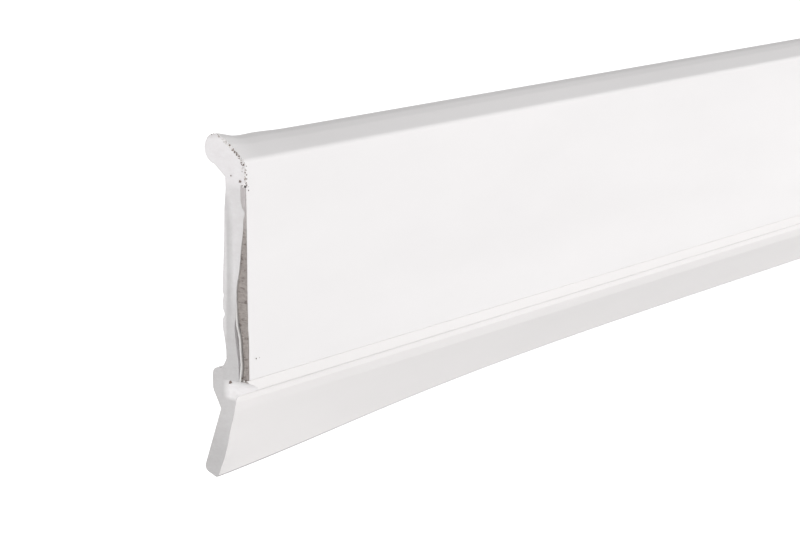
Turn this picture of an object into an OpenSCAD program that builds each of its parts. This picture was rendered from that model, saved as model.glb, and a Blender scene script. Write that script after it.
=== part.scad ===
// Stick-on door sweep. A thin board core is wrapped in white vinyl; a soft lip along the top seals against the
// door, a soft flap along the bottom brushes the floor, and a foam tape on the back holds the strip on the door.
// X runs along the strip, the front face looks towards -Y and Z is up. The origin is the middle of the tape's
// outer face, on the door. Cross-sections are drawn as [depth behind the front face, height above the top corner].

/* [Strip] */
// Length of the strip from cut end to cut end
length = 914; // [500:1:1220]
// Height of the flat front face, from the top corner down to the bead
face_h = 44; // [42:0.5:60]
// Depth from the front face to the back of the web
body_t = 6; // [5.6:0.1:6.6]

/* [Core and films] */
// Thickness of the film over the face
face_film_t = 0.3; // [0.2:0.05:0.5]
// Thickness of the film on the back of the core
back_film_t = 0.25; // [0.15:0.05:0.4]
// Thickness of the core board at its top edge
core_top_t = 0.8; // [0.6:0.1:1.5]
// Thickness of the core board over its lower half
core_t = 3.3; // [2:0.1:3.6]
// Depth of the core's top edge below the top corner
core_drop = 5.9; // [5.7:0.1:8]

/* [Top lip] */
// Slope of the top surface, in degrees above level
lip_slope = 29; // [24:1:34]
// Radius of the soft edge between face and slope
corner_r = 1.2; // [0.8:0.1:1.6]
// Radius of the rounded rear end of the lip
bulb_r = 3.1; // [2.8:0.1:3.3]
// Radius of the knuckle that the lip bends about
lip_knuckle_r = 3.3; // [3.2:0.05:3.4]

/* [Bead and flap] */
// Radius of the rounded knob along the back of the bead
knob_r = 3; // [2.6:0.1:3.2]
// Length of the flap from its bending line to its tip
flap_l = 15.7; // [10:0.1:25]
// Thickness of the flap at its root
flap_root_t = 3.3; // [2.6:0.1:3.4]
// Thickness of the flap at its tip
flap_tip_t = 3.9; // [2.6:0.1:4.2]
// Backward lean of the flap along the middle of the strip, in degrees
flap_lean = 43.6; // [20:0.1:45]
// Backward lean of the flap right at a cut end, in degrees
flap_end_lean = 20.4; // [10:0.1:45]
// Distance from a cut end over which the flap finds its full lean
flap_ease = 67; // [30:1:90]

/* [Mounting tape] */
// Height of the foam tape
tape_h = 25; // [12:0.5:30]
// Thickness of the foam tape
tape_t = 3.9; // [3:0.1:4.2]
// Thickness of the paper liner that covers the tape
liner_t = 0.1; // [0.08:0.01:0.2]
// Gap between each end of the tape and the cut end of the strip
tape_inset = 15; // [8:1:30]

/* [Hidden] */
$fn = 96;

door_depth = body_t + tape_t + liner_t;
tape_mid = 23;
bend_gap = 0.25;

core_top = -core_drop;
core_foot = -face_h - 0.6;
core_line = [[core_top_t, core_top], [core_top_t + 0.2, -13], [core_t, -27],
             [core_t, 7.5 - face_h], [core_t - 0.7, core_foot]];

lip_pivot = [4.3, -1.2];
bulb_centre = [7.75, 0.15];
bulb_top_angle = 100;
bulb_foot_angle = -86;
slope_run = 4.6;
bury = 0.03;
crown = [5.9, 2.95];
notch = [body_t, lip_pivot.y - sqrt(pow(lip_knuckle_r, 2) - pow(body_t - lip_pivot.x, 2))];

knob_centre = [6.8, -face_h - 1.3];
land_foot = [0.15, -face_h - 2.5];
brow_foot = [3.1, -face_h - 3.75];
hinge_foot = [3.25, -face_h - 5.1];
groove = 0.1;

flap_pivot = [5.2, -face_h - 6];
root_steps = 12;
tip_corner = 0.9;
tip_forward = 0.45;
ease_steps = 20;
ease_span = min(3.2 * flap_ease, 0.48 * length);

liner_h = tape_h + 1;
liner_tab = 6;

function polar(r, a) = r * [cos(a), sin(a)];
function arc(centre, r, from, to, steps) =
    [for (i = [0:steps]) centre + polar(r, from + (to - from) * i / steps)];
function turn(p, a) = [p.x * cos(a) - p.y * sin(a), p.x * sin(a) + p.y * cos(a)];

// Centre of the soft corner between face and slope
corner_reach = corner_r / tan((90 + lip_slope) / 2);
corner_centre = [corner_r, -corner_reach];

// A point on the slope, a distance along it from the sharp corner and a depth below its surface
function on_slope(along, depth = 0) =
    polar(along, lip_slope) + polar(depth, lip_slope - 90);

// The back of the core, or a line a distance behind it
function core_back(extra = 0) = [for (p = core_line) [face_film_t + p.x + extra, p.y]];
function reversed(list) = [for (i = [len(list) - 1:-1:0]) list[i]];

// Extrudes each shape of a cross-section along the strip and puts it in place before the door plane
module run(span = length)
    translate([-span / 2, -door_depth, tape_mid]) rotate([90, 0, 90])
        for (i = [0:$children - 1]) linear_extrude(span) children(i);

// The room that the lip's knuckle needs to turn in
module lip_socket() translate(lip_pivot) circle(lip_knuckle_r + bend_gap);

module core_board() color([0.62, 0.57, 0.52]) run()
    polygon(concat([[face_film_t, core_foot], [face_film_t, core_top]], core_back()));

module back_film() color([0.86, 0.85, 0.84]) run()
    polygon(concat(core_back(), reversed(core_back(back_film_t))));

module back_web() color([0.88, 0.88, 0.9]) run()
    polygon(concat(core_back(back_film_t), [[body_t, core_foot], [body_t, core_top]]));

module face_film() color([0.96, 0.95, 0.94]) run() difference() {
    inner_r = corner_r - face_film_t;
    polygon(concat(
        [[0, -face_h]],
        arc(corner_centre, corner_r, 180, 90 + lip_slope, 8),
        [on_slope(slope_run / 2), on_slope(slope_run / 2, face_film_t)],
        arc(corner_centre, inner_r, 90 + lip_slope, 180, 8),
        [[face_film_t, -face_h]]));
    lip_socket();
}

module lip_root() color([0.93, 0.93, 0.92]) run() difference() {
    polygon(concat(
        [[face_film_t, core_top]],
        arc(corner_centre, corner_r - face_film_t, 180, 90 + lip_slope, 8),
        [on_slope(slope_run / 2, face_film_t), lip_pivot, notch, [body_t, core_top]]));
    lip_socket();
}

module top_lip() color([0.97, 0.97, 0.96]) run() {
    translate(bulb_centre) circle(bulb_r);
    intersection() {
        translate(lip_pivot) circle(lip_knuckle_r);
        polygon([on_slope(-2), on_slope(slope_run), notch, [body_t, 2 * core_top], [-2, 2 * core_top]]);
    }
    polygon([lip_pivot, on_slope(slope_run - 2), on_slope(slope_run), crown,
             bulb_centre + polar(bulb_r - bury, bulb_top_angle), bulb_centre,
             bulb_centre + polar(bulb_r - bury, bulb_foot_angle), notch + [bury, bury]]);
}

module hinge_bead() color([0.98, 0.98, 0.98]) run() difference() {
    union() {
        polygon([[groove, -face_h], land_foot, brow_foot, hinge_foot, [5.4, -face_h - 4.4],
                 [7.6, -face_h - 4.1], knob_centre, [body_t, core_foot], [face_film_t, core_foot],
                 [face_film_t, -face_h]]);
        difference() {
            translate(knob_centre) circle(knob_r);
            translate([0, core_foot]) square([body_t, face_h]);
        }
    }
    translate(flap_pivot) circle(flap_root_t / 2 + bend_gap);
}

// The flap hangs from a round root; its cross-section is drawn pointing straight down from the pivot
root_r = flap_root_t / 2;
tip_r = flap_tip_t / 2;
flap_outline = concat(
    arc([0, 0], root_r, 0, 180, root_steps),
    arc([tip_corner - tip_r - tip_forward, tip_corner - flap_l], tip_corner, 180, 270, 3),
    arc([tip_r - tip_corner - tip_forward, tip_corner - flap_l], tip_corner, 270, 360, 3));

// Stations along the strip, close together where the lean changes near each end
ease_x = [for (i = [0:ease_steps]) i * ease_span / ease_steps];
stations = concat([for (x = ease_x) x - length / 2], [for (x = reversed(ease_x)) length / 2 - x]);
function lean_at(x) =
    flap_lean - (flap_lean - flap_end_lean) * exp(-pow((length / 2 - abs(x)) / flap_ease, 1.5));

module sweep_flap() color([0.94, 0.93, 0.93]) {
    sides = len(flap_outline);
    last = len(stations) - 1;
    points = [for (x = stations, p = flap_outline)
        let (q = flap_pivot + turn(p, lean_at(x))) [x, q.x - door_depth, q.y + tape_mid]];
    walls = [for (i = [0:last - 1], j = [0:sides - 1])
        let (k = (j + 1) % sides, a = i * sides, b = a + sides)
        each [[a + j, b + j, b + k], [a + j, b + k, a + k]]];
    ends = [[for (j = [0:sides - 1]) j], [for (j = [sides - 1:-1:0]) last * sides + j]];
    polyhedron(points, concat(walls, ends), convexity = 4);
}

module mounting_tape() color([0.82, 0.82, 0.8]) run(length - 2 * tape_inset)
    translate([body_t, -tape_mid - tape_h / 2]) square([tape_t, tape_h]);

module release_liner() color([0.72, 0.8, 0.86]) run(length - 2 * (tape_inset - liner_tab))
    translate([body_t + tape_t, -tape_mid - liner_h / 2]) square([liner_t, liner_h]);

core_board();
face_film();
back_film();
back_web();
lip_root();
top_lip();
hinge_bead();
sweep_flap();
mounting_tape();
release_liner();
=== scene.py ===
"""The looks of a stick-on door sweep: a board-cored white vinyl strip with a soft lip and a soft flap.

Cross-sections are written as (depth behind the front face, height above the top corner) in millimetres,
and each piece is lofted along X through stations that crowd together at the two cut ends.
"""

import math
import random

import bmesh
import bpy
import numpy as np
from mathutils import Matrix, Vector, noise
from mathutils.geometry import delaunay_2d_cdt


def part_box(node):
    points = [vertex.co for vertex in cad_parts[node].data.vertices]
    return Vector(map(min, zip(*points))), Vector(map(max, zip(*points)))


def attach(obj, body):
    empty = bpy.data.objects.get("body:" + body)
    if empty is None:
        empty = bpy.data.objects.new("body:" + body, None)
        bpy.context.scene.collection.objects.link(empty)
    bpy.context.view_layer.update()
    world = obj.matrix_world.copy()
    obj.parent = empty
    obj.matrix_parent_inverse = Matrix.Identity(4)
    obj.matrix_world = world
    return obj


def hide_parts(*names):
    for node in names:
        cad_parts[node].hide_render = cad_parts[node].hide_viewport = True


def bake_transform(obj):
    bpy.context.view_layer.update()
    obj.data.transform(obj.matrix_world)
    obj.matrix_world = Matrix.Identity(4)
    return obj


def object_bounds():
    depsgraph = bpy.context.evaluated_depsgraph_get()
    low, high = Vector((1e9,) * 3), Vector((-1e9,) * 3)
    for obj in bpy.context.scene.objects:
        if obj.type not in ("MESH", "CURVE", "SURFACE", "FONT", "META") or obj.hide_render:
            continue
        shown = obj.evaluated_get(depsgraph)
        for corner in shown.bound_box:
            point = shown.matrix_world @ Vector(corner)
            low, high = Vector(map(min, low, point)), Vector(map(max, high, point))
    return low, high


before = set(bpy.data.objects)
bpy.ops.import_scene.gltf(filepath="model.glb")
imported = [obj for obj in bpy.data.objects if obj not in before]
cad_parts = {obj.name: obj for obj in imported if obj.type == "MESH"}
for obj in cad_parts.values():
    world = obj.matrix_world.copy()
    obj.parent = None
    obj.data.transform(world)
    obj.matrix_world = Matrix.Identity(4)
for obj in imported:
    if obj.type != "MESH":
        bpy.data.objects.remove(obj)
cad_low, cad_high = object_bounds()

MM = 0.001

# ---------------------------------------------------------------- driving dimensions, in millimetres
FACE_H = 44.0
BODY_T = 6.0
FILM_T = 0.3
CORE_DROP = 5.9
CORE_FOOT = -FACE_H - 0.6
SLOPE_END = (4.1, 2.2)
CREST = (6.0, 2.95)
BULB_CENTRE, BULB_R = (7.66, 0.26), 3.02
NOTCH = (BODY_T, -4.1)
FLAP_PIVOT = (5.2, -FACE_H - 6.0)
FLAP_L = 15.7
FLAP_FRONT, FLAP_BACK = 2.4, 1.5
FLAP_LEAN, FLAP_END_LEAN, FLAP_EASE = 43.6, 20.4, 67.0
LIP_FLARE, FLARE_REACH = 10.0, 4.4

# ---------------------------------------------------------------- places that come from the frame
film_low, film_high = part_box("face_film")
FACE_Y = film_low.y
CORNER_Z = film_low.z + FACE_H * MM
X0, X1 = film_low.x, film_high.x
LENGTH = (X1 - X0) / MM


def place(x, section):
    """Points of a cross-section, in millimetres, at a place along the strip, in metres in the row frame."""
    s = np.asarray(section, float)
    return np.column_stack([np.full(len(s), x), FACE_Y + s[:, 0] * MM, CORNER_Z + s[:, 1] * MM])


def smooth(t):
    """Eases from 0 to 1."""
    t = np.clip(t, 0.0, 1.0)
    return t * t * (3 - 2 * t)


def ripple(x, y, z, size, seed=0.0):
    """Smooth noise from -1 to 1 with features of about size, all in millimetres."""
    return noise.noise(Vector((x / size + seed, y / size - seed, z / size + 2 * seed)))


def from_end(x):
    """Distance in millimetres from the nearer cut end."""
    return min(x - X0, X1 - x) / MM


# ---------------------------------------------------------------- outlines with rounded corners
def round_corners(corners, edge_steps, arc_steps=7):
    """A closed outline through (depth, height, radius) corners: each is rounded, and each edge is split."""
    p = np.array([c[:2] for c in corners], float)
    n = len(p)
    entry, leave, arcs = [], [], []
    for i, (_, _, r) in enumerate(corners):
        back, ahead = p[i - 1] - p[i], p[(i + 1) % n] - p[i]
        lb, la = np.linalg.norm(back), np.linalg.norm(ahead)
        back, ahead = back / lb, ahead / la
        half = math.acos(max(-1.0, min(1.0, float(back @ ahead)))) / 2
        if r <= 0:
            entry.append(p[i])
            leave.append(p[i])
            arcs.append(None)
            continue
        reach = min(r / math.tan(min(half, 1.5)), 0.49 * lb, 0.49 * la)
        a, b = p[i] + back * reach, p[i] + ahead * reach
        entry.append(a)
        leave.append(b)
        arcs.append((a, p[i], b))
    out = []
    for i, arc in enumerate(arcs):
        if arc is None:
            out.append(entry[i])
        else:
            a, c, b = arc
            chord = (a + b) / 2
            rise = np.linalg.norm(c - chord)
            run = np.linalg.norm(a - chord)
            weight = (run + 1e-9) / (math.hypot(run, rise) + 1e-9)
            for t in np.linspace(0, 1, arc_steps + 1):
                w = np.array([(1 - t) ** 2, 2 * t * (1 - t) * weight, t * t])
                out.append((w[0] * a + w[1] * c + w[2] * b) / w.sum())
        nxt = entry[(i + 1) % n]
        for k in range(1, edge_steps[i]):
            out.append(leave[i] + (nxt - leave[i]) * k / edge_steps[i])
    return np.array(out)


def steps_for(corners, spacing):
    """How many pieces each edge is split into."""
    p = np.array([c[:2] for c in corners], float)
    lengths = np.linalg.norm(np.roll(p, -1, 0) - p, axis=1)
    return [max(1, math.ceil(float(length) / spacing)) for length in lengths]


# ---------------------------------------------------------------- stations along the strip
def half_stations():
    """Distances from a cut end to the middle, in steps that grow from 0.22 to 11 mm."""
    d, out = 0.0, [0.0]
    while d < LENGTH / 2:
        d += min(max(0.22, 0.13 * d), 11.0)
        out.append(min(d, LENGTH / 2))
    return out


HALF = half_stations()
STATIONS = [X0 + d * MM for d in HALF] + [X1 - d * MM for d in reversed(HALF[:-1])]


def lean_at(x):
    """Backward lean of the flap in degrees: the soft vinyl straightens towards a cut end."""
    return FLAP_LEAN - (FLAP_LEAN - FLAP_END_LEAN) * math.exp(-((from_end(x) / FLAP_EASE) ** 1.5))


def turned(points, pivot, degrees):
    """Points turned about a pivot by one angle, or by one angle each."""
    a = np.radians(degrees)
    d = np.asarray(points, float) - pivot
    across = d[:, 0] * np.cos(a) - d[:, 1] * np.sin(a)
    up = d[:, 0] * np.sin(a) + d[:, 1] * np.cos(a)
    return np.column_stack([across, up]) + pivot


def flare(points, x):
    """The lip's points near a cut end, where the saw dragged the soft vinyl and curled it up."""
    swell = 2.0 * math.exp(-(((from_end(x) - 12.0) / 5.0) ** 2))
    return turned(np.atleast_2d(points), (0.0, 0.0), LIP_FLARE * near_end(x, FLARE_REACH) + swell)


def near_end(x, reach):
    """1 at a cut end, fading out over about reach millimetres."""
    return math.exp(-((from_end(x) / reach) ** 2))


def film_t(x):
    """Thickness of the face film: the saw has drawn it thin at a cut end."""
    return FILM_T - 0.15 * near_end(x, 1.6)


def between(heights, table):
    """Reads a table of (height, value) rows that run downwards."""
    places, values = zip(*table)
    return np.interp(-np.asarray(heights, float), -np.array(places), values)


# ---------------------------------------------------------------- meshes
def cap_points(outline, pitch):
    """Grid points inside an outline, kept clear of it."""
    low, high = outline.min(0), outline.max(0)
    gy, gz = np.meshgrid(np.arange(low[0], high[0], pitch), np.arange(low[1], high[1], pitch))
    gy = gy + (np.arange(gy.shape[0]) % 2)[:, None] * pitch / 2
    pts = np.column_stack([gy.ravel(), gz.ravel()])
    a, b = outline, np.roll(outline, -1, 0)
    y, z = pts[:, None, 0], pts[:, None, 1]
    spans = (a[:, 1] > z) != (b[:, 1] > z)
    crossing_y = (b[:, 0] - a[:, 0]) * (z - a[:, 1]) / (b[:, 1] - a[:, 1] + 1e-12) + a[:, 0]
    inside = (spans & (y < crossing_y)).sum(1) % 2 == 1
    pts = pts[inside]
    return pts[edge_distance(pts, outline) > 0.45 * pitch]


def edge_distance(pts, outline):
    """Distance of each point to an outline."""
    a, b = outline, np.roll(outline, -1, 0)
    ab = b - a
    t = np.clip(((pts[:, None] - a) * ab).sum(2) / ((ab * ab).sum(1) + 1e-12), 0, 1)
    return np.linalg.norm(pts[:, None] - (a + t[..., None] * ab), axis=2).min(1)


def no_shift(points, side):
    """A rim that lies square at the end."""
    return np.zeros(len(points))


def loft(name, outlines, materials, cap_shape, pitch=0.5, stations=STATIONS, end_shift=no_shift, stripe=(),
         crease=38):
    """A closed solid through one outline per station, with a finely meshed cut face at each end.

    The materials are for the sides, the cut faces and, if there is a third, the sides listed in stripe.
    cap_shape(points, edge distance, side) gives how far the cut face lies inside the end, in millimetres.
    end_shift(points, side) moves the rim of a cut inwards, and drags what lies close behind it.
    Edges that turn more than crease degrees stay sharp."""
    n, count = len(stations), len(outlines[0])
    rings = [place(x, o) for x, o in zip(stations, outlines)]
    faces, slots = [], []
    for side, end in ((-1, 0), (1, n - 1)):
        shift = end_shift(outlines[end], side)
        reach = 2.5 * float(np.max(np.abs(shift))) + 1.0
        for i, x in enumerate(stations):
            rings[i][:, 0] -= side * shift * max(0.0, 1 - abs(x - stations[end]) / MM / reach) * MM
    verts = [v for ring in rings for v in ring]
    for i in range(n - 1):
        for j in range(count):
            k = (j + 1) % count
            faces.append((i * count + j, i * count + k, (i + 1) * count + k, (i + 1) * count + j))
            slots.append(2 if j in stripe else 0)
    for side, ring in ((-1, 0), (1, n - 1)):
        o = outlines[ring]
        inner = cap_points(o, pitch)
        flat = [Vector(p) for p in np.vstack([o, inner])]
        loop = [(j, (j + 1) % count) for j in range(count)]
        made, _, triangles, origin, _, _ = delaunay_2d_cdt(flat, loop, [], 1, 1e-7)
        depth = cap_shape(inner, edge_distance(inner, o), side) if len(inner) else np.zeros(0)
        index = {}
        for i, source in enumerate(origin):
            first = source[0] if source else None
            if first is not None and first < count:
                index[i] = ring * count + first
                continue
            inward = float(depth[first - count]) if first is not None else 0.0
            index[i] = len(verts)
            verts.append(place(stations[ring] - side * inward * MM, [made[i]])[0])
        for t in triangles:
            t = [index[i] for i in t]
            faces.append(tuple(t if side > 0 else reversed(t)))
            slots.append(1)
    mesh = bpy.data.meshes.new(name)
    mesh.from_pydata([tuple(v) for v in verts], [], faces)
    mesh.polygons.foreach_set("use_smooth", [True] * len(faces))
    piece = dress(mesh, materials, slots)
    mesh.set_sharp_from_angle(angle=math.radians(crease))
    return piece


def dress(mesh, materials, slots):
    """Gives a mesh its materials, turns its faces outwards and puts it in the scene."""
    for m in materials:
        mesh.materials.append(m)
    mesh.polygons.foreach_set("material_index", slots)
    mesh.update()
    outward(mesh)
    piece = bpy.data.objects.new(mesh.name, mesh)
    bpy.context.scene.collection.objects.link(piece)
    return piece


def outward(mesh):
    """Turns the faces so that they look outwards."""
    b = bmesh.new()
    b.from_mesh(mesh)
    bmesh.ops.recalc_face_normals(b, faces=b.faces)
    b.to_mesh(mesh)
    b.free()


# ---------------------------------------------------------------- materials
class Nodes:
    """A short way to write a material's node tree."""

    def __init__(self, name):
        self.material = bpy.data.materials.new(name)
        self.material.use_nodes = True
        self.tree = self.material.node_tree
        self.shader = self.tree.nodes["Principled BSDF"]
        self.where = self.new("ShaderNodeTexCoord").outputs["Object"]
        self.split = None

    def new(self, kind, **settings):
        node = self.tree.nodes.new(kind)
        for key, value in settings.items():
            setattr(node, key, value)
        return node

    def link(self, a, b):
        self.tree.links.new(a, b)

    def axis(self, name):
        """The place along one axis, in metres."""
        if self.split is None:
            self.split = self.new("ShaderNodeSeparateXYZ")
            self.link(self.where, self.split.inputs[0])
        return self.split.outputs[name]

    def noise(self, size, stretch=(1, 1, 1), detail=3.0, rough=0.5):
        """Noise with features of about size, in millimetres, stretched along the axes."""
        scale = self.new("ShaderNodeMapping")
        scale.inputs["Scale"].default_value = [1 / (size * MM * s) for s in stretch]
        self.link(self.where, scale.inputs["Vector"])
        tex = self.new("ShaderNodeTexNoise")
        tex.inputs["Scale"].default_value = 1.0
        tex.inputs["Detail"].default_value = detail
        tex.inputs["Roughness"].default_value = rough
        self.link(scale.outputs[0], tex.inputs["Vector"])
        return tex.outputs["Fac"]

    def ramp(self, source, *stops):
        ramp = self.new("ShaderNodeValToRGB")
        while len(ramp.color_ramp.elements) < len(stops):
            ramp.color_ramp.elements.new(0.5)
        for element, (at, colour) in zip(ramp.color_ramp.elements, stops):
            element.position = at
            element.color = (*colour, 1) if len(colour) == 3 else colour
        self.link(source, ramp.inputs[0])
        return ramp.outputs["Color"]

    def spread(self, source, low, high, a=0.3, b=0.7):
        """Maps a value from a..b to low..high."""
        m = self.new("ShaderNodeMapRange")
        for name, value in zip(("From Min", "From Max", "To Min", "To Max"), (a, b, low, high)):
            m.inputs[name].default_value = value
        self.link(source, m.inputs["Value"])
        return m.outputs["Result"]

    def mix(self, share, a, b, mode="MIX"):
        """Mixes two colours; each is a socket or a colour."""
        m = self.new("ShaderNodeMix", data_type="RGBA", blend_type=mode)
        colour_in = [s for s in m.inputs if s.type == "RGBA"]
        for socket, value in ((m.inputs[0], share), (colour_in[0], a), (colour_in[1], b)):
            if isinstance(value, bpy.types.NodeSocket):
                self.link(value, socket)
            else:
                socket.default_value = (*value, 1) if isinstance(value, tuple) else value
        return [s for s in m.outputs if s.type == "RGBA"][0]

    def times(self, a, b):
        m = self.new("ShaderNodeMath", operation="MULTIPLY")
        self.link(a, m.inputs[0])
        self.link(b, m.inputs[1])
        return m.outputs[0]

    def bump(self, source, distance, strength=1.0, below=None):
        b = self.new("ShaderNodeBump")
        b.inputs["Strength"].default_value = strength
        b.inputs["Distance"].default_value = distance * MM
        self.link(source, b.inputs["Height"])
        if below is not None:
            self.link(below, b.inputs["Normal"])
        return b.outputs["Normal"]

    def finish(self, colour, rough, normal=None, ior=1.5):
        for name, value in (("Base Color", colour), ("Roughness", rough), ("Normal", normal)):
            if isinstance(value, bpy.types.NodeSocket):
                self.link(value, self.shader.inputs[name])
            elif value is not None:
                self.shader.inputs[name].default_value = (*value, 1) if isinstance(value, tuple) else value
        self.shader.inputs["IOR"].default_value = ior
        return self.material


def tint(colour, factor):
    """The same colour, lighter or darker."""
    return tuple(min(1.0, c * factor) for c in colour)


def vinyl(name, colour, rough, die_lines=0.004):
    """Extruded vinyl: fine die lines along the strip, faint clouding and a slightly uneven gloss."""
    n = Nodes(name)
    cloud = n.noise(22, (3, 1, 1), 4)
    base = n.ramp(cloud, (0.3, tint(colour, 0.975)), (0.7, tint(colour, 1.01)))
    lines = n.bump(n.noise(0.35, (400, 1, 1), 2), die_lines)
    pores = n.bump(n.noise(0.5, (1, 1, 1), 3), 0.006, 0.6, lines)
    gloss = n.spread(n.noise(9, (4, 1, 1), 5), rough - 0.07, rough + 0.09)
    return n.finish(base, gloss, pores)


def shaded_cut_vinyl(name, *zones):
    """Sawn vinyl: dull, with faint smears, in zones of lighter and darker white: painted light and painted
    shade.

    Each zone is laid over those before it. It is a colour and its limits, each (axis, start, end): the zone
    fades in from start to end, in the cross-section's millimetres. The first zone has no limits."""
    n = Nodes(name)
    base = zones[0][0]
    for colour, *limits in zones[1:]:
        share = None
        for axis, start, end in limits:
            offset = FACE_Y if axis == "Y" else CORNER_Z
            fade = n.spread(n.axis(axis), 0.0, 1.0, offset + start * MM, offset + end * MM)
            share = fade if share is None else n.times(share, fade)
        base = n.mix(share, base, colour)
    grime = n.ramp(n.noise(1.3, (1, 1.6, 1), 6, 0.65), (0.3, (0.94, 0.93, 0.93)), (0.6, (1, 1, 1)))
    smears = n.noise(0.45, (1, 5, 1), 4)
    return n.finish(n.mix(1.0, base, grime, "MULTIPLY"), n.spread(smears, 0.5, 0.75), n.bump(smears, 0.05))


def core_material(name, light):
    """Grey board: felted fibre, darker ticks that the saw left in it, and vinyl smeared over its thin top."""
    n = Nodes(name)
    smeared = n.spread(n.axis("Z"), 0.0, 1.0, CORNER_Z - 16.0 * MM, CORNER_Z - 8.5 * MM)
    dark, pale = tint((0.19, 0.165, 0.155), light), tint((0.40, 0.365, 0.345), light)
    fibre = n.ramp(n.noise(0.5, (1, 2.2, 0.8), 7, 0.7), (0.25, dark), (0.75, pale))
    ticks = n.ramp(n.noise(1.3, (1, 1.3, 0.25), 3, 0.6), (0.34, (0.5, 0.47, 0.46)), (0.42, (1, 1, 1)))
    body = n.noise(0.28, (1, 1, 1), 6, 0.7)
    board = n.mix(1.0, fibre, ticks, "MULTIPLY")
    return n.finish(n.mix(smeared, board, (0.585, 0.55, 0.55)), 0.93, n.bump(body, 0.12))


def film_edge_material():
    """The film's torn edge: white film, and dark patches that are partly adhesive and dust and partly painted
    shade where the film lifts.
    """
    n = Nodes("film_torn_edge_dust_and_shade")
    patches = n.noise(0.6, (1, 1, 1), 5, 0.7)
    torn = n.ramp(patches, (0.38, (0.15, 0.105, 0.09)), (0.44, (0.5, 0.44, 0.41)), (0.5, (0.84, 0.82, 0.815)))
    # Below the torn part the edge is a plain grey: painted shade beside the core.
    above = n.spread(n.axis("Z"), 0.0, 1.0, CORNER_Z - 8.0 * MM, CORNER_Z - 6.5 * MM)
    base = n.mix(above, (0.76, 0.735, 0.73), torn)
    return n.finish(base, 0.8, n.bump(patches, 0.1))


def fleck_material(name, dark, pale):
    """Chips and dust, whose dark kind also serves as painted shade: a fine grain between two colours."""
    n = Nodes(name)
    grain = n.noise(0.3, (1, 1, 1), 5, 0.7)
    return n.finish(n.ramp(grain, (0.35, dark), (0.65, pale)), 0.85, n.bump(grain, 0.05))


def paper_film_material():
    """Fibrous white film."""
    n = Nodes("back_film_paper")
    fibre = n.noise(0.9, (3, 1, 1), 6, 0.6)
    base = n.ramp(fibre, (0.3, (0.66, 0.64, 0.62)), (0.65, (0.84, 0.83, 0.82)))
    return n.finish(base, 0.85, n.bump(fibre, 0.03))


def foam_material():
    """Open-celled foam tape."""
    n = Nodes("tape_foam")
    cells = n.new("ShaderNodeTexVoronoi")
    cells.inputs["Scale"].default_value = 1 / (0.55 * MM)
    n.link(n.where, cells.inputs["Vector"])
    pit = cells.outputs["Distance"]
    base = n.ramp(pit, (0.0, (0.62, 0.62, 0.6)), (0.55, (0.86, 0.86, 0.84)))
    return n.finish(base, 0.9, n.bump(pit, 0.18))


def liner_material():
    """Siliconed paper with a plain diagonal hatch."""
    n = Nodes("liner_siliconed_paper")
    wave = n.new("ShaderNodeTexWave", wave_type="BANDS", bands_direction="DIAGONAL")
    wave.inputs["Scale"].default_value = 1 / (9 * MM)
    wave.inputs["Distortion"].default_value = 0.0
    n.link(n.where, wave.inputs["Vector"])
    hatch = n.ramp(wave.outputs["Fac"], (0.46, (0.86, 0.83, 0.74)), (0.54, (0.82, 0.785, 0.68)))
    fibre = n.noise(1.2, (2, 1, 1), 6)
    paper = n.ramp(fibre, (0.3, (0.8, 0.77, 0.68)), (0.7, (0.9, 0.87, 0.8)))
    return n.finish(n.mix(0.35, hatch, paper), 0.42, n.bump(fibre, 0.02))


FILM_FACE = vinyl("face_film_vinyl", (0.905, 0.885, 0.885), 0.42, 0.003)
SOFT = vinyl("soft_vinyl_skin", (0.925, 0.90, 0.895), 0.40)
# A darker soft vinyl for the flap's lower front corner: painted shade along its bottom edge.
EDGE_SHADE_VINYL = vinyl("soft_vinyl_shaded_edge", (0.53, 0.51, 0.51), 0.6)
HARD = vinyl("hard_vinyl_skin", (0.86, 0.84, 0.85), 0.46)
# Whites for the sawn faces; their zones are painted light and painted shade.
WHITE = (0.88, 0.857, 0.866)
PALE = (0.775, 0.757, 0.762)
GREY = (0.645, 0.632, 0.632)
PAINTED_LIGHT_WHITE = (0.99, 0.97, 0.975)
# The lip's cut face: the grey zone along the top of the bulb and the darker zone towards the root are painted
# shade.
LIP_CUT = shaded_cut_vinyl(
    "lip_cut_painted_shade", (WHITE,),
    (tint(GREY, 1.12), ("Z", 3.4, 4.7)),
    (PALE, ("Z", -4.5, -5.9)))
# The web's cut face: the grey band in front of its back edge and the greyer zones lower down are painted
# shade; the lighter zones along the back edge are a painted highlight.
WEB_CUT = shaded_cut_vinyl(
    "web_cut_painted_light_and_shade", (PALE,),
    (tint(GREY, 1.05), ("Y", 3.1, 4.0), ("Z", -7.0, -14.0)),
    (tint(PALE, 1.08), ("Y", 5.0, 5.4), ("Z", -7.0, -14.0)),
    (GREY, ("Z", -24.0, -30.0)),
    (tint(GREY, 0.95), ("Z", -30.0, -36.0)),
    (PALE, ("Y", 5.2, 5.8), ("Z", -38.0, -35.0)))
# The bead and flap's cut face: its grey base and the darker flap are painted shade; the near-white front of
# the bead is painted light.
SEAL_CUT = shaded_cut_vinyl(
    "seal_cut_painted_light_and_shade", (tint(GREY, 0.97),),
    (PAINTED_LIGHT_WHITE, ("Y", 6.7, 4.8), ("Z", -44.0, -45.6)),
    (GREY, ("Z", -48.0, -48.8)),
    (tint(GREY, 0.88), ("Z", -52.0, -60.0)))
CORE = core_material("core_board_sawn", 1.3)
TORN = film_edge_material()
FLAKE = fleck_material("flake_vinyl", (0.80, 0.78, 0.77), (0.93, 0.92, 0.91))
DUST_AND_SHADE = fleck_material("saw_dust_and_shade", (0.12, 0.085, 0.07), (0.34, 0.28, 0.25))
PAPER = paper_film_material()
FOAM = foam_material()
LINER = liner_material()


# ---------------------------------------------------------------- the pieces
def no_dish(points, edge, side):
    """A plain flat cut."""
    return np.zeros(len(points))


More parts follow.
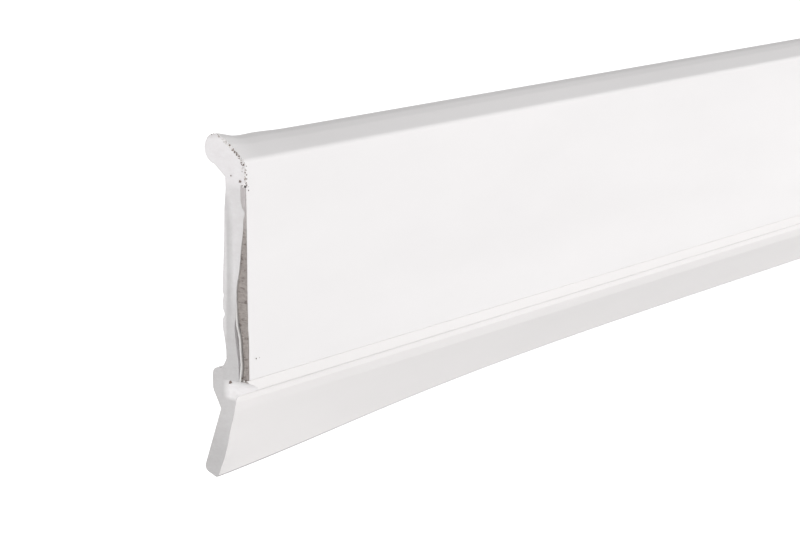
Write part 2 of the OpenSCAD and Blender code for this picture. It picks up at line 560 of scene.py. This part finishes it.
def lip_blend(piece):
    """Bakes a piece's placement into its mesh."""
    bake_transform(piece)


def bulb_arc(start, end, steps):
    """Points round the back of the lip's bulb, clockwise, between two angles in degrees."""
    angles = np.radians(np.linspace(start, end, steps))
    return np.column_stack([np.cos(angles), np.sin(angles)]) * BULB_R + BULB_CENTRE


CORE_TOP_BACK = 1.15


def core_top(x):
    """Height of the board's top edge: at the cut the sawn vinyl has pulled back from its corner.

    It stays a hair above its nominal place, so that no side of the lip's outline has zero length."""
    return -CORE_DROP + 0.03 + 1.0 * near_end(x, 1.2)


def make_lip():
    """The lip's root over the core and the lip itself, in one soft extrusion."""
    def corners(x):
        near = near_end(x, 3.0)
        top = core_top(x)
        under_film = [(SLOPE_END[0] + 0.1, SLOPE_END[1] - FILM_T), (CREST[0] + 0.3, CREST[1] - 0.12)]
        slope, crest = flare(under_film, x)
        notch = (NOTCH[0] - 0.8 * near, NOTCH[1] + 0.45 * near)
        front = [(CORE_TOP_BACK, -CORE_DROP, 0), (CORE_TOP_BACK, top, 0), (film_t(x), top, 0),
                 (film_t(x), -0.15, 0.9), (*slope, 5), (*crest, 3)]
        arc = [(*p, 0) for p in flare(bulb_arc(92, -90, 34), x)]
        return front + arc + [(*notch, 0.4), (notch[0] - 0.1 * near, -CORE_DROP, 0)]

    steps = steps_for(corners(0.0), 0.6)
    steps[0] = 2
    outlines = [round_corners(corners(x), steps) for x in STATIONS]

    def dish(points, edge, side):
        rough = np.array([ripple(side, y, z, 0.9, 3.1) for y, z in points])
        return 0.10 * (1 - np.exp(-edge / 0.5)) + 0.05 * rough

    piece = loft("soft_lip", outlines, [SOFT, LIP_CUT], dish)
    lip_blend(piece)
    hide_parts("lip_root", "top_lip")
    return piece


CORE_BACK = [(-CORE_DROP, 0.8), (-13.0, 1.0), (-27.0, 3.3), (7.5 - FACE_H, 3.3), (CORE_FOOT, 2.6)]
# At a cut: depth of the crushed board's back, and how far the web stands off behind it
CUT_BOARD = [(-4.9, 0.85), (-8.0, 0.8), (-9.4, 0.45), (-10.0, -0.12), (-10.8, -0.08), (-11.8, 0.22),
             (-14.2, 0.35), (-15.0, 0.5), (-17.0, 0.85), (-22.6, 1.6), (-24.5, 2.1), (-26.0, 2.3),
             (-28.0, 2.35), (-30.0, 2.25), (-33.3, 2.0), (-35.7, 1.45), (-38.3, 1.25), (-41.0, 1.05),
             (CORE_FOOT, 1.5)]
CUT_GAP = [(-28.0, 0.0), (-30.0, 0.15), (-31.6, 0.5), (-33.3, 0.95), (-35.7, 1.4), (-38.3, 1.15),
           (-41.0, 1.0), (CORE_FOOT, 0.5)]
CRUSH_REACH = 3.5
SHEET_T = 0.25


def backs(heights, x):
    """Depths of the board's back, the back film's front and the web's front.

    Away from the ends they lie against each other. At a cut the film has come away over the lower half."""
    near = near_end(x, CRUSH_REACH)
    whole = between(heights, CORE_BACK)
    board = between(heights, CUT_BOARD)
    film = board + 0.05 * smooth((-30.0 - np.asarray(heights)) / 3)
    web = board + between(heights, CUT_GAP)
    wave = np.array([ripple(0, 0, z, 3.0, 2.2) for z in heights])
    wave = 0.09 * smooth((-28.0 - np.asarray(heights)) / 4) * wave
    board = whole + near * (board - whole)
    film = whole + near * (film + wave - whole)
    web = whole + SHEET_T + near * (np.maximum(web, film + 0.05) + 0.04 - whole - SHEET_T)
    return FILM_T + board, FILM_T + film, FILM_T + web


def make_core():
    """The board: its sawn end is felted, ticked and crushed along the back of its lower half."""
    def outline(x):
        heights = np.linspace(core_top(x), CORE_FOOT, 80)
        back = list(zip(backs(heights, x)[0], heights))
        front = [(film_t(x), z) for z in heights[::-1][::3]]
        return np.array(back + front)

    def sunk(points):
        """The thin top of the board is cut flush; its thicker foot lies a little inside."""
        return 0.06 + 0.20 * smooth((-14.0 - points[:, 1]) / 6)

    def hollow(points):
        """Over its lower half the board is crushed along its back."""
        behind = FILM_T + between(points[:, 1], CUT_BOARD) - points[:, 0]
        return 0.22 * smooth(1 - behind / 0.6) * smooth((-29.5 - points[:, 1]) / 5)

    def rough(points, edge, side):
        fuzz = np.array([ripple(side, y, z, 0.7, 7.7) for y, z in points])
        fibres = np.array([ripple(side, y, z, 0.25, 1.7) for y, z in points])
        ticks = np.array([ripple(side, 0.7 * y, 2.2 * z, 0.8, 5.5) for y, z in points])
        return sunk(points) + 0.10 * fuzz + 0.06 * fibres + 0.10 * ticks + hollow(points)

    def rim(points, side):
        fuzz = np.array([ripple(side, y, z, 0.7, 7.7) for y, z in points])
        return sunk(points) + 0.08 * fuzz + hollow(points)

    piece = loft("board_core", [outline(x) for x in STATIONS], [CORE, CORE], rough, 0.3, end_shift=rim)
    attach(piece, "strip")
    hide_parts("core_board")
    return piece


def make_back_film():
    """The film behind the board; over its lower half it has come away at the cut and waves."""
    heights = np.linspace(-CORE_DROP, CORE_FOOT, 90)

    def outline(x):
        near = near_end(x, CRUSH_REACH)
        _, front, web = backs(heights, x)
        thick = np.minimum(0.42, web - front - 0.02) * near + SHEET_T * (1 - near)
        thick = np.maximum(thick, 0.02)
        return np.array(list(zip(front, heights)) + list(zip((front + thick)[::-1], heights[::-1])))

    piece = loft("back_film_sheet", [outline(x) for x in STATIONS], [PAPER, PAPER], no_dish, 0.3)
    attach(piece, "strip")
    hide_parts("back_film")
    return piece


# How far the web's back edge stands out at a cut, from the top down
WEB_WAVE = [(-5.9, -0.9), (-10.0, -0.5), (-14.3, -0.35), (-19.5, -0.1), (-24.0, 0.2), (-26.6, 0.35),
            (-27.3, 0.05), (-28.5, 0.3), (-30.3, 0.3), (-31.2, -0.2), (-32.4, 0.45), (-34.0, 0.45),
            (-36.0, 0.0), (-38.5, -0.4), (-40.3, -0.4), (-41.2, 0.05), (-42.0, 0.6), (CORE_FOOT, 0.6)]


def make_web():
    """The hard vinyl behind the board, with a wavy back edge and a shallow groove at the cut."""
    heights = np.linspace(-CORE_DROP, CORE_FOOT, 100)
    wave = between(heights, WEB_WAVE)

    def outline(x):
        near = near_end(x, 2.5)
        front = list(zip(backs(heights, x)[2], heights))
        back = [(BODY_T + near * w, z) for w, z in zip(wave[::-1], heights[::-1])]
        return np.array(front + back)

    def dish(points, edge, side):
        groove = np.exp(-(((BODY_T - points[:, 0] - 1.6) / 0.7) ** 2)) * smooth((-points[:, 1] - 5.5) / 4)
        groove = groove * smooth((points[:, 1] + 38) / 10)
        rough = np.array([ripple(side, y, z, 1.1, 9.3) for y, z in points])
        return 0.4 * groove + 0.05 * rough

    piece = loft("rear_web", [outline(x) for x in STATIONS], [HARD, WEB_CUT], dish, 0.4)
    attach(piece, "strip")
    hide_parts("back_web")
    return piece


def make_face_film():
    """The printed film over the face and the top slope, torn ragged where it was sawn."""
    def corners(x):
        top = flare([SLOPE_END, CREST, (7.45, 3.22)], x)
        roll = 0.5 * near_end(x, 0.9)
        under = flare([(7.4, 3.14 - 0.4 * roll), (CREST[0] + 0.1, CREST[1] - 0.22 - roll),
                       (SLOPE_END[0] + 0.1, SLOPE_END[1] - FILM_T - roll)], x)
        return [(0, -FACE_H, 0), (0, 0, 1.2), (*top[0], 5), (*top[1], 4), (*top[2], 0),
                (*under[0], 0), (*under[1], 4), (*under[2], 5), (film_t(x) + 0.5 * roll, -0.17 - roll, 0.9),
                (film_t(x) + 0.6 * roll, -3.2, 0), (film_t(x), -4.6, 0), (film_t(x), -FACE_H, 0)]

    steps = steps_for(corners(0.0), 0.45)

    def torn(points, side):
        zone = smooth((points[:, 1] + 7.0) / 1.5)
        jag = np.array([ripple(side, y, z, 0.45, 4.4) for y, z in points])
        jag += 0.7 * np.array([ripple(side, y, z, 1.4, 8.8) for y, z in points])
        low = smooth((-33.0 - points[:, 1]) / 3)
        flat = smooth(-points[:, 1] / 3.5)
        return (0.45 * flat + 0.26 * jag) * zone + (0.40 + 0.05 * jag + 0.18 * low) * (1 - zone)

    outlines = [round_corners(corners(x), steps) for x in STATIONS]
    piece = loft("face_skin", outlines, [FILM_FACE, TORN], no_dish, 0.2, end_shift=torn)
    lip_blend(piece)
    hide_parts("face_film")
    return piece


# Crumbs that are larger than the rest, and dark lumps that stand for shade: (distance along X, depth, height,
# radius, dark)
CRUMBS_AND_SHADE_SPOTS = [
    # The third lump on this line is a dark lump for a small void in the bead: painted shade.
    (-0.05, 1.3, -4.2, 0.26, True), (-0.05, 3.6, -3.3, 0.17, True), (0.05, 4.65, -45.0, 0.36, True),
    (1.0, 0.0, -5.9, 0.19, True), (0.9, 0.02, -5.2, 0.12, True), (0.05, 0.25, -0.8, 0.24, True),
    (0.2, 0.05, -2.3, 0.24, True), (0.3, 0.1, -3.2, 0.15, True), (0.4, 0.05, -4.4, 0.17, True),
    (-0.05, 0.38, -5.05, 0.24, False), (-0.1, 0.7, -1.6, 0.2, False), (0.0, 0.4, -2.8, 0.18, False),
    # The last lump on this line and the first on the next mark a small nick in the face: dark lumps, partly
    # crumb and partly painted shade in the nick.
    (0.02, 0.5, -14.3, 0.15, True), (0.02, 0.55, -15.1, 0.17, True), (2.6, 0.0, -39.9, 0.2, True),
    (3.6, 0.02, -39.9, 0.12, True), (0.45, 0.02, -1.1, 0.17, True), (0.5, 0.03, -1.9, 0.15, True),
    (0.45, 0.0, -2.8, 0.19, True), (0.55, 0.02, -3.6, 0.16, True), (0.5, 0.0, -4.9, 0.15, True),
    (0.3, 0.45, -0.35, 0.16, True), (0.1, 1.5, -43.7, 0.22, True), (0.1, 1.9, -44.3, 0.2, True),
    (0.0, 0.9, -44.2, 0.2, False), (0.1, 8.1, -54.2, 0.14, True),
]
BURR_CHIPS = 46


def chip(x, depth, height, radius, seed):
    """A small ragged lump: its corners, in metres, and its faces."""
    pick = random.Random(seed)
    corners = [(1, 0, 0), (-1, 0, 0), (0, 1, 0), (0, -1, 0), (0, 0, 1), (0, 0, -1)]
    corners += [(a * 0.62, b * 0.62, c * 0.62) for a in (-1, 1) for b in (-1, 1) for c in (-1, 1)]
    size = [radius * pick.uniform(0.5, 1.25) for _ in corners]
    points = [place(x + a * r * 0.7 * MM, [(depth + b * r, height + c * r)])[0]
              for (a, b, c), r in zip(corners, size)]
    faces = []
    for a in (0, 1):
        for b in (2, 3):
            for c in (4, 5):
                m = 6 + (1 - a) * 4 + (3 - b) * 2 + (5 - c)
                faces += [(a, b, m), (b, c, m), (c, a, m)]
    return points, faces


def make_burr():
    """Dust and chips that the saw left along the film's edge, and a few crumbs beside them; the dark ones are
    partly painted shade.
    """
    pick = random.Random(11)
    verts, faces, slots = [], [], []
    for x, inward in ((X0, 1), (X1, -1)):
        crest = flare([(0.1, -6.6), (0.12, -1.0), (0.75, 0.15), (2.6, 1.4)], x)
        leg = np.concatenate([[0], np.cumsum(np.linalg.norm(np.diff(crest, axis=0), axis=1))])
        chips = []
        # Chips along the film's edge; the dark ones are partly dust and partly painted shade in the gaps
        # where the film lifts.
        for _ in range(BURR_CHIPS):
            at = leg[-1] * pick.random() ** 1.25
            depth, height = (np.interp(at, leg, crest[:, i]) for i in (0, 1))
            radius = 0.10 + 0.17 * pick.random() ** 2
            along = 0.45 * float(smooth(-height / 3.5)) + pick.uniform(-0.25, 0.1)
            chips.append((along, depth + 0.5 * pick.random() ** 2, height - 0.1, radius, pick.random() < 0.6))
        # Chips along the top of the bulb; the dark ones are partly dust and partly painted shade along its
        # rim.
        for y, z in flare(bulb_arc(30, 105, 17), x):
            chips.append((pick.uniform(-0.05, 0.1), y, z, pick.uniform(0.05, 0.13), pick.random() < 0.5))
        for along, depth, height, radius, dark in chips + CRUMBS_AND_SHADE_SPOTS:
            points, made = chip(x + inward * along * MM, depth, height, radius, len(verts) + 5)
            base = len(verts)
            verts += [tuple(p) for p in points]
            faces += [tuple(base + i for i in f) for f in made]
            slots += [1 if dark else 0] * len(made)
    mesh = bpy.data.meshes.new("saw_burr")
    mesh.from_pydata(verts, [], faces)
    piece = dress(mesh, [FLAKE, DUST_AND_SHADE], slots)
    lip_blend(piece)
    return piece


def bead_chamfer(points):
    """How far the bead's cut face falls away towards the front."""
    band = smooth((points[:, 1] + FACE_H + 4.3) / 0.9) * smooth((-FACE_H - 0.1 - points[:, 1]) / 2.2)
    return 3.4 * np.clip(1 - points[:, 0] / 5.6, 0, 1) ** 1.5 * band


FLAP_ROUNDING = (2.0, 6.0, 6.0, 6.0, 0.7, 1.2, 0.4)


def make_seal():
    """The bead, its rear knob and the flap, in one soft extrusion."""
    def corners(x):
        near = near_end(x, 8.0)
        local = np.array([(-1.65 - 0.2 * near, -0.5), (-1.75 - 0.35 * near, -4.5), (-1.9 - 0.55 * near, -7.5),
                          (-2.1 - 0.5 * near, -10.8), (-FLAP_FRONT, -FLAP_L), (FLAP_BACK, -FLAP_L),
                          (1.65, -1.9 + 0.45 * near)])
        flap = turned(local + FLAP_PIVOT, FLAP_PIVOT, lean_at(x))
        knob = 9.75 - 0.4 * near
        land = [(0.34, CORE_FOOT, 0), (0.30, -FACE_H - 0.04, 0.02), (0.08, -FACE_H - 0.12, 0.08),
                (0.12, -FACE_H - 2.5, 0.35)]
        brow = [(3.1, -FACE_H - 3.75, 0.3), (3.2, -FACE_H - 5.05, 0.2)]
        hanging = [(*p, r) for p, r in zip(flap, FLAP_ROUNDING)]
        rear = [(knob, -FACE_H - 2.9, 2.4), (knob, -FACE_H + 1.65, 2.6), (BODY_T, -FACE_H + 1.6, 0.3),
                (BODY_T, CORE_FOOT, 0)]
        return land + brow + hanging + rear

    steps = steps_for(corners(0.0), 0.7)
    outlines = [round_corners(corners(x), steps) for x in STATIONS]

    def dish(points, edge, side):
        rough = np.array([ripple(side, y, z, 1.0, 6.1) for y, z in points])
        return 0.06 * (1 - np.exp(-edge / 0.4)) + 0.05 * rough + bead_chamfer(points)

    # The faces round the flap's lower front corner take the darker vinyl: painted shade along the flap's
    # bottom edge.
    upright = turned(outlines[0], FLAP_PIVOT, -lean_at(X0)) - FLAP_PIVOT
    tip = {j for j, (depth, height) in enumerate(upright) if height < 0.68 - FLAP_L and depth < 1.0}
    piece = loft("bead_and_flap", outlines, [SOFT, SEAL_CUT, EDGE_SHADE_VINYL], dish, stripe=tip,
                 end_shift=lambda p, s: bead_chamfer(p), crease=56)
    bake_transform(piece)
    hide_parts("hinge_bead", "sweep_flap")
    return piece


def section_box(node):
    """Where a node starts and ends along X, and its depths and heights in the cross-section."""
    low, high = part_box(node)
    depths = (low.y - FACE_Y) / MM, (high.y - FACE_Y) / MM
    heights = (low.z - CORNER_Z) / MM, (high.z - CORNER_Z) / MM
    return (low.x, high.x), depths, heights


def make_tape():
    """The foam tape, with slightly slumped edges."""
    (start, end), (y0, y1), (z0, z1) = section_box("mounting_tape")
    stations = list(np.linspace(start, end, 90))

    def outline(x):
        sag = 0.18 + 0.08 * ripple(x / MM, 0, 0, 9, 1.0)
        corners = [(y0, z0, 0.05), ((y0 + y1) / 2, z0 + sag, 2), (y1, z0, 0.15), (y1, z1, 0.15),
                   ((y0 + y1) / 2, z1 - sag, 2), (y0, z1, 0.05)]
        return round_corners(corners, [3, 3, 30, 3, 3, 30])

    def cells(points, edge, side):
        return 0.1 * np.array([ripple(side, y, z, 0.6, 3.0) for y, z in points])

    piece = loft("foam_tape", [outline(x) for x in stations], [FOAM, FOAM], cells, 0.6, stations)
    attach(piece, "strip")
    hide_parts("mounting_tape")
    return piece


def make_liner():
    """The paper over the tape; its tab curls off at one end."""
    (start, end), (y0, y1), (z0, z1) = section_box("release_liner")
    stations = list(np.linspace(start, end, 120))

    def outline(x):
        curl = 1.2 * smooth(1 - (x - start) / MM / 9.0) ** 2
        off = curl + 0.02 * ripple(x / MM, 0, 0, 14, 2.0)
        corners = [(y0 + off, z0, 0), (y1 + off, z0, 0), (y1 + off, z1, 0), (y0 + off, z1, 0)]
        return round_corners(corners, [1, 26, 1, 26])

    piece = loft("liner_paper", [outline(x) for x in stations], [LINER, LINER], no_dish, 0.6, stations)
    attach(piece, "liner")
    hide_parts("release_liner")
    return piece


make_lip()
make_core()
make_back_film()
make_web()
make_face_film()
make_seal()
make_burr()
make_tape()
make_liner()

# ---------------------------------------------------------------- floor, light and camera
FLOOR_DROP = 0.35
FLOOR_FRONT, FLOOR_BACK = 0.05, 1.0
SKY_HORIZON, SKY_TOP, SKY_FRONT = 0.55, 0.40, 0.35


def make_floor():
    """A white sweep that glows, brighter behind the strip than in front of it: painted light."""
    bpy.ops.mesh.primitive_plane_add(size=40, location=(0, 0, cad_low.z - FLOOR_DROP))
    floor = bpy.context.object
    floor.name = "floor"
    n = Nodes("floor_white")
    glow = n.spread(n.axis("Y"), FLOOR_FRONT, FLOOR_BACK, 0.0, 0.38)
    n.link(glow, n.shader.inputs["Emission Strength"])
    n.shader.inputs["Emission Color"].default_value = (1, 1, 1, 1)
    floor.data.materials.append(n.finish((0.5, 0.5, 0.5), 0.9))


def make_world():
    """A white studio: dim overhead, bright in front."""
    world = bpy.data.worlds.new("studio")
    bpy.context.scene.world = world
    world.use_nodes = True
    tree = world.node_tree
    coord = tree.nodes.new("ShaderNodeTexCoord")
    split = tree.nodes.new("ShaderNodeSeparateXYZ")
    tree.links.new(coord.outputs["Generated"], split.inputs[0])
    levels = []
    fades = (("Z", 0.0, 0.7, SKY_HORIZON, SKY_TOP), ("Y", 0.0, -1.0, 0.0, SKY_FRONT))
    for axis, start, end, low, high in fades:
        ramp = tree.nodes.new("ShaderNodeMapRange")
        for name, value in (("From Min", start), ("From Max", end), ("To Min", low), ("To Max", high)):
            ramp.inputs[name].default_value = value
        tree.links.new(split.outputs[axis], ramp.inputs["Value"])
        levels.append(ramp.outputs["Result"])
    total = tree.nodes.new("ShaderNodeMath")
    tree.links.new(levels[0], total.inputs[0])
    tree.links.new(levels[1], total.inputs[1])
    background = tree.nodes["Background"]
    background.inputs["Color"].default_value = (1, 1, 1, 1)
    tree.links.new(total.outputs[0], background.inputs["Strength"])


def make_light(name, place_at, aim, size, power, colour=(1, 1, 1)):
    light = bpy.data.lights.new(name, "AREA")
    light.shape = "RECTANGLE"
    light.size, light.size_y = size
    light.energy = power
    light.color = colour
    lamp = bpy.data.objects.new(name, light)
    lamp.location = place_at
    lamp.rotation_euler = (Vector(aim) - Vector(place_at)).to_track_quat("-Z", "Y").to_euler()
    bpy.context.scene.collection.objects.link(lamp)


def make_camera():
    """Near the left cut end, looking along the strip from the front and a little above."""
    corner = Vector((X0, FACE_Y, CORNER_Z))
    heading, pitch = math.radians(37.9), math.radians(-11.8)
    look = Vector((math.cos(heading) * math.cos(pitch), math.sin(heading) * math.cos(pitch), math.sin(pitch)))
    camera = bpy.data.cameras.new("camera")
    camera.sensor_width = 36
    camera.lens = 101.25
    camera.clip_start, camera.clip_end = 0.01, 100
    holder = bpy.data.objects.new("camera", camera)
    holder.location = corner + Vector((-0.321, -0.288, 0.069))
    holder.rotation_euler = look.to_track_quat("-Z", "Y").to_euler()
    bpy.context.scene.collection.objects.link(holder)
    bpy.context.scene.camera = holder


make_floor()
make_world()
make_light("front_softbox", (0.1, -1.1, -0.05), (0.1, 0, -0.05), (1.0, 0.8), 8.4)
make_light("left_fill", (-2.0, 0.25, 0.15), (X0, 0, 0), (1.0, 1.0), 8)
make_camera()
bpy.context.scene.view_settings.view_transform = "Standard"
